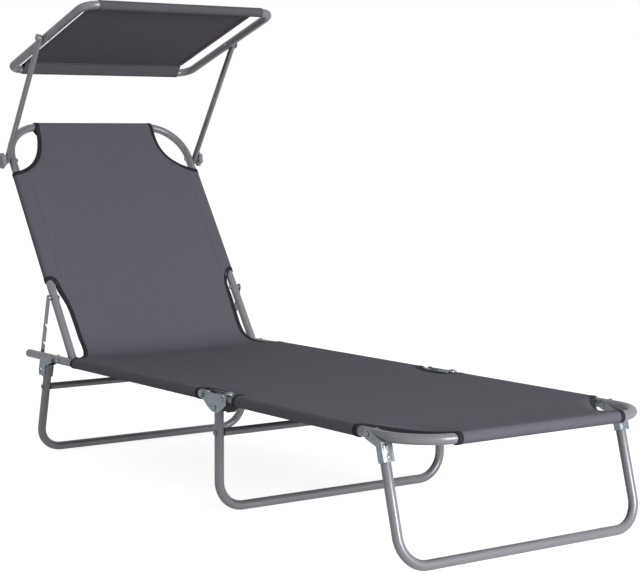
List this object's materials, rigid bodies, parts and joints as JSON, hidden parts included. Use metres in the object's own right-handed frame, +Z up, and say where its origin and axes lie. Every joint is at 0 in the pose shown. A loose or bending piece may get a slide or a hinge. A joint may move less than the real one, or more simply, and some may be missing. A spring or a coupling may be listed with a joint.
{
  "type": "sun lounger",
  "caption": "Folding steel-tube sun lounger with a stretched sling, ratchet backrest, folding leg hoops and a tilting sun canopy.",
  "frame": {"origin": "on the floor, below the middle of the part's box in X and Y", "axes": "+Z up, +Y towards the head end, X across the lounger"},
  "size_m": [0.592, 1.7164, 1.0524],
  "materials": {
    "frame_paint": "smooth satin grey powder coat",
    "zinc_hardware": "galvanised, semi-matt",
    "sling_fabric": "fine plain weave, matt",
    "canopy_fabric": "fine plain weave, matt",
    "knob_plastic": "satin moulded",
    "stop_plastic": "matt moulded",
    "plug_plastic": "satin moulded"
  },
  "bodies": {
    "seat_frame": {"sling_seat": "sling_fabric", "sling_recline_fold": "sling_fabric", "seat_tube_left": "frame_paint", "seat_tube_right": "frame_paint", "end_plug_left": "plug_plastic", "end_plug_right": "plug_plastic", "recline_bolt_left": "zinc_hardware", "recline_bolt_right": "zinc_hardware", "ratchet_stub_left": "zinc_hardware", "ratchet_stub_right": "zinc_hardware", "rear_leg_rivet_left": "zinc_hardware", "rear_leg_rivet_right": "zinc_hardware", "fold_pin_left": "zinc_hardware", "fold_pin_right": "zinc_hardware"},
    "backrest": {"backrest_tube": "frame_paint", "sling_back": "sling_fabric", "ratchet_pivot_left": "zinc_hardware", "ratchet_pivot_right": "zinc_hardware", "knob_bolt_left": "zinc_hardware", "knob_bolt_right": "zinc_hardware"},
    "ratchet_left": {"ratchet_strip_left": "zinc_hardware"},
    "ratchet_right": {"ratchet_strip_right": "zinc_hardware"},
    "rear_leg": {"rear_leg_hoop": "frame_paint", "rear_crossbar": "frame_paint", "rear_leg_bracket_left": "zinc_hardware", "rear_leg_bracket_right": "zinc_hardware"},
    "foot_frame": {"foot_tube": "frame_paint", "sling_foot": "sling_fabric", "sling_mid_fold": "sling_fabric", "hinge_cheek_outer_left": "zinc_hardware", "hinge_cheek_outer_right": "zinc_hardware", "hinge_cheek_inner_left": "zinc_hardware", "hinge_cheek_inner_right": "zinc_hardware", "stop_block_left": "stop_plastic", "stop_block_right": "stop_plastic", "stop_stud_left": "zinc_hardware", "stop_stud_right": "zinc_hardware", "hinge_rivet_left": "zinc_hardware", "hinge_rivet_right": "zinc_hardware", "mid_leg_rivet_left": "zinc_hardware", "mid_leg_rivet_right": "zinc_hardware", "front_leg_rivet_left": "zinc_hardware", "front_leg_rivet_right": "zinc_hardware"},
    "mid_leg": {"mid_leg_hoop": "frame_paint", "mid_crossbar": "frame_paint"},
    "front_leg": {"front_leg_hoop": "frame_paint", "front_leg_bracket_left": "zinc_hardware", "front_leg_bracket_right": "zinc_hardware"},
    "canopy_arms": {"canopy_arm_left": "frame_paint", "canopy_arm_right": "frame_paint", "canopy_bolt_left": "zinc_hardware", "canopy_bolt_right": "zinc_hardware"},
    "canopy_frame": {"canopy_tube": "frame_paint", "canopy_fabric": "canopy_fabric"},
    "knob_left": {"star_knob_left": "knob_plastic"},
    "knob_right": {"star_knob_right": "knob_plastic"}
  },
  "joints": [
    {"name": "backrest_recline", "type": "hinge", "parent": "seat_frame", "child": "backrest", "pos_m": [0, 0.48203, 0.232], "axis": [1, 0, 0], "range_deg": [-56, 18], "deforming": ["sling_recline_fold"]},
    {"name": "foot_fold", "type": "hinge", "parent": "seat_frame", "child": "foot_frame", "pos_m": [0, -0.16797, 0.235], "axis": [1, 0, 0], "range_deg": [-160, 0], "deforming": ["sling_mid_fold"]},
    {"name": "rear_leg_fold", "type": "hinge", "parent": "seat_frame", "child": "rear_leg", "pos_m": [0, 0.51573, 0.232], "axis": [1, 0, 0], "range_deg": [-100, 0]},
    {"name": "mid_leg_fold", "type": "hinge", "parent": "foot_frame", "child": "mid_leg", "pos_m": [0, -0.21737, 0.2124], "axis": [1, 0, 0], "range_deg": [-70, 0]},
    {"name": "front_leg_fold", "type": "hinge", "parent": "foot_frame", "child": "front_leg", "pos_m": [0, -0.72297, 0.232], "axis": [1, 0, 0], "range_deg": [0, 100]},
    {"name": "ratchet_swing_left", "type": "hinge", "parent": "backrest", "child": "ratchet_left", "pos_m": [0, 0.57453, 0.36863], "axis": [1, 0, 0], "range_deg": [0, 25]},
    {"name": "ratchet_swing_right", "type": "hinge", "parent": "backrest", "child": "ratchet_right", "pos_m": [0, 0.57453, 0.36863], "axis": [1, 0, 0], "range_deg": [0, 25]},
    {"name": "canopy_arm_swing", "type": "hinge", "parent": "backrest", "child": "canopy_arms", "pos_m": [0, 0.7915, 0.68909], "axis": [1, 0, 0], "range_deg": [-100, 10]},
    {"name": "canopy_tilt", "type": "hinge", "parent": "canopy_arms", "child": "canopy_frame", "pos_m": [0, 0.59539, 0.97657], "axis": [1, 0, 0], "range_deg": [-60, 60]},
    {"name": "knob_turn_left", "type": "hinge", "parent": "backrest", "child": "knob_left", "pos_m": [0, 0.7915, 0.68909], "axis": [1, 0, 0], "continuous": true},
    {"name": "knob_turn_right", "type": "hinge", "parent": "backrest", "child": "knob_right", "pos_m": [0, 0.7915, 0.68909], "axis": [1, 0, 0], "continuous": true}
  ],
  "couplings": [
    {"joint": "ratchet_swing_right", "follows": "ratchet_swing_left", "ratio": 1}
  ]
}
